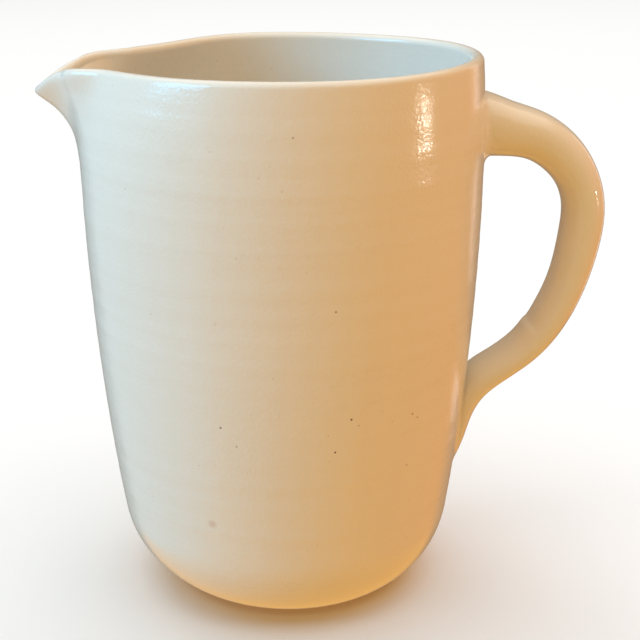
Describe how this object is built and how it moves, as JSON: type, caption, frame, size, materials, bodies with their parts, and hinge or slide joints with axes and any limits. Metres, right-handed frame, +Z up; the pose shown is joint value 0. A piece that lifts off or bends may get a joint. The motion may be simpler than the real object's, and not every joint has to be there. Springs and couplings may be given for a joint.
{
  "type": "pitcher",
  "caption": "Wheel-thrown glazed stoneware pitcher with near-straight walls, a rounded base on a small foot ring, a short pulled spout and a looped strap handle opposite.",
  "frame": {"origin": "centre of the foot ring, in the plane of the surface that the pitcher stands on", "axes": "+Z up through the open top, +X from the pitcher's axis towards the handle, -X the way the spout pours"},
  "size_m": [0.2071, 0.1466, 0.203],
  "materials": {
    "body_glaze": "glossy off-white glaze with a fine orange peel, paler where it thins at the lip, with a few iron specks",
    "handle_glaze": "the same glossy off-white glaze over a pulled strap",
    "joining_slip": "fired joining slip of the same stoneware, matte where no glaze covers it"
  },
  "bodies": {
    "root": {"thrown_body": "body_glaze", "handle": "handle_glaze", "upper_slip_joint": "joining_slip", "lower_slip_joint": "joining_slip"}
  },
  "joints": []
}
